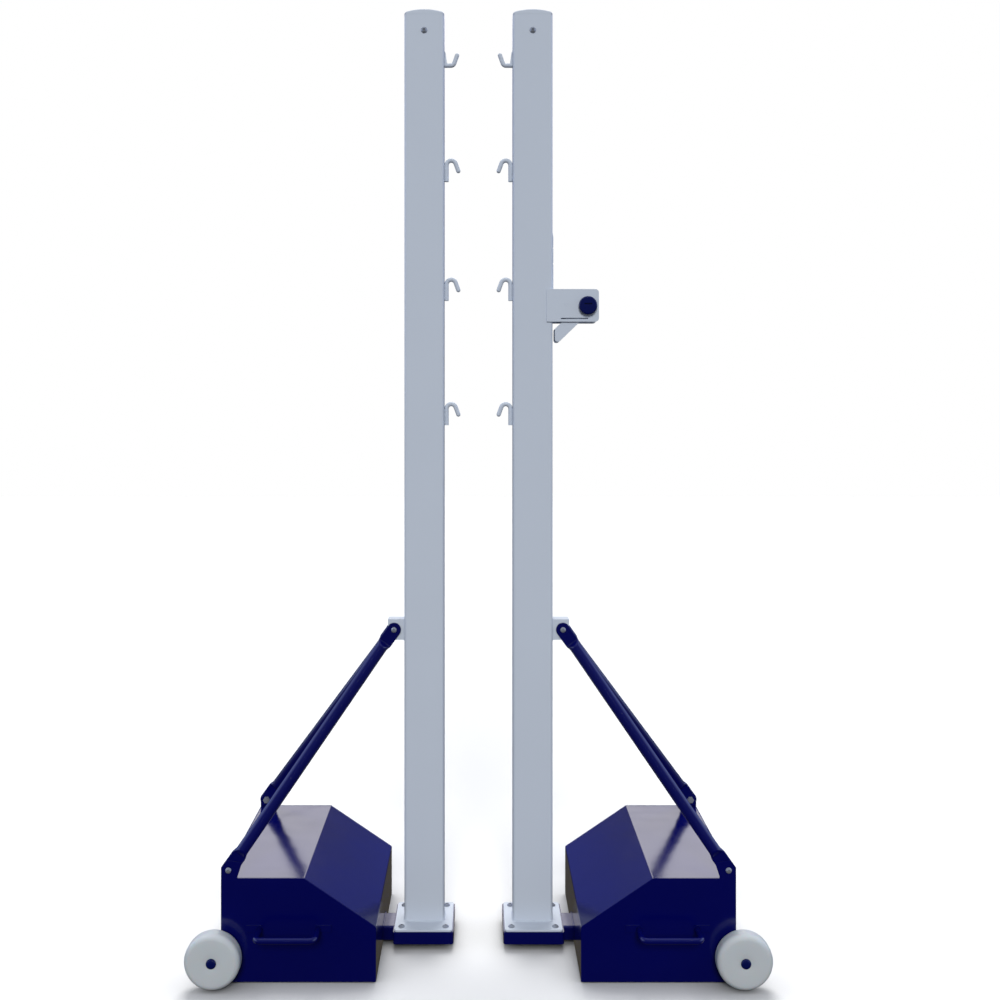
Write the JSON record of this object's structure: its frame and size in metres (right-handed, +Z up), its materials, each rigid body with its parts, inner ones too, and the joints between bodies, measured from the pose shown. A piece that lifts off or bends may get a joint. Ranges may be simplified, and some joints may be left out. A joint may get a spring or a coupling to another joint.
{
  "type": "volleyball net post pair",
  "caption": "Pair of free-standing net posts with cord hooks, braced by splayed struts on wheeled ballast casings with bow handles; one post has a ratchet rope tensioner.",
  "frame": {"origin": "on the floor, midway between the two units and between their front and rear ends", "axes": "+X along the net from the plain post to the post with the tensioner, +Y to the rear, +Z up"},
  "size_m": [1.4824, 0.622, 2.571],
  "materials": {
    "white_powder_coat": "satin powder coat",
    "navy_powder_coat": "glossy powder coat",
    "white_nylon": "satin moulded nylon",
    "navy_plastic": "glossy moulded plastic",
    "zinc_steel": "zinc plated",
    "plain_steel": "turned steel",
    "black_rubber": "matt",
    "concrete": "cast, rough"
  },
  "bodies": {
    "stands": {"left_post_tube": "white_powder_coat", "left_post_cap": "white_powder_coat", "left_top_hook": "white_powder_coat", "left_lower_hooks": "white_powder_coat", "left_strut_lug": "white_powder_coat", "left_base_flange": "white_powder_coat", "left_foot_pad": "navy_powder_coat", "left_foot_arm": "navy_powder_coat", "left_casing_shell": "navy_powder_coat", "left_front_end_plate": "navy_powder_coat", "left_rear_end_plate": "navy_powder_coat", "left_floor_plate": "navy_powder_coat", "left_ballast_blocks": "concrete", "left_front_strut": "navy_powder_coat", "left_rear_strut": "navy_powder_coat", "left_handles": "navy_powder_coat", "left_axle": "plain_steel", "left_axle_plates": "navy_powder_coat", "left_axle_caps": "navy_plastic", "right_post_tube": "white_powder_coat", "right_post_cap": "white_powder_coat", "right_top_hook": "white_powder_coat", "right_lower_hooks": "white_powder_coat", "right_strut_lug": "white_powder_coat", "right_base_flange": "white_powder_coat", "right_foot_pad": "navy_powder_coat", "right_foot_arm": "navy_powder_coat", "right_casing_shell": "navy_powder_coat", "right_front_end_plate": "navy_powder_coat", "right_rear_end_plate": "navy_powder_coat", "right_floor_plate": "navy_powder_coat", "right_ballast_blocks": "concrete", "right_front_strut": "navy_powder_coat", "right_rear_strut": "navy_powder_coat", "right_handles": "navy_powder_coat", "right_axle": "plain_steel", "right_axle_plates": "navy_powder_coat", "right_axle_caps": "navy_plastic", "rubber_feet": "black_rubber", "cap_bolts": "zinc_steel", "flange_bolts": "zinc_steel", "strut_bolts": "zinc_steel", "lock_nuts": "zinc_steel", "tensioner_housing": "white_powder_coat", "pawl_pin": "white_powder_coat", "notched_strip": "white_powder_coat"},
    "left_front_wheel_body": {"left_front_wheel": "white_nylon", "left_front_wheel_bush": "plain_steel"},
    "left_rear_wheel_body": {"left_rear_wheel": "white_nylon", "left_rear_wheel_bush": "plain_steel"},
    "right_front_wheel_body": {"right_front_wheel": "white_nylon", "right_front_wheel_bush": "plain_steel"},
    "right_rear_wheel_body": {"right_rear_wheel": "white_nylon", "right_rear_wheel_bush": "plain_steel"},
    "spool_body": {"rope_spool": "plain_steel", "ratchet_wheel": "zinc_steel", "spool_knob": "navy_plastic"},
    "ratchet_handle_body": {"ratchet_handle": "white_powder_coat"},
    "pawl_body": {"locking_pawl": "zinc_steel"}
  },
  "joints": [
    {"name": "left_front_wheel_spin", "type": "hinge", "parent": "stands", "child": "left_front_wheel_body", "pos_m": [-0.6705, -0.27, 0.07575], "axis": [0, 1, 0], "continuous": true},
    {"name": "left_rear_wheel_spin", "type": "hinge", "parent": "stands", "child": "left_rear_wheel_body", "pos_m": [-0.6705, 0.27, 0.07575], "axis": [0, 1, 0], "continuous": true},
    {"name": "right_front_wheel_spin", "type": "hinge", "parent": "stands", "child": "right_front_wheel_body", "pos_m": [0.6705, -0.27, 0.07575], "axis": [0, 1, 0], "continuous": true},
    {"name": "right_rear_wheel_spin", "type": "hinge", "parent": "stands", "child": "right_rear_wheel_body", "pos_m": [0.6705, 0.27, 0.07575], "axis": [0, 1, 0], "continuous": true},
    {"name": "spool_turn", "type": "hinge", "parent": "stands", "child": "spool_body", "pos_m": [0.301, 0, 1.751], "axis": [0, 1, 0], "continuous": true},
    {"name": "ratchet_handle_swing", "type": "hinge", "parent": "stands", "child": "ratchet_handle_body", "pos_m": [0.301, 0, 1.751], "axis": [0, -1, 0], "range_deg": [0, 110]},
    {"name": "pawl_release", "type": "hinge", "parent": "stands", "child": "pawl_body", "pos_m": [0.241, 0, 1.754], "axis": [0, -1, 0], "range_deg": [0, 15]}
  ]
}
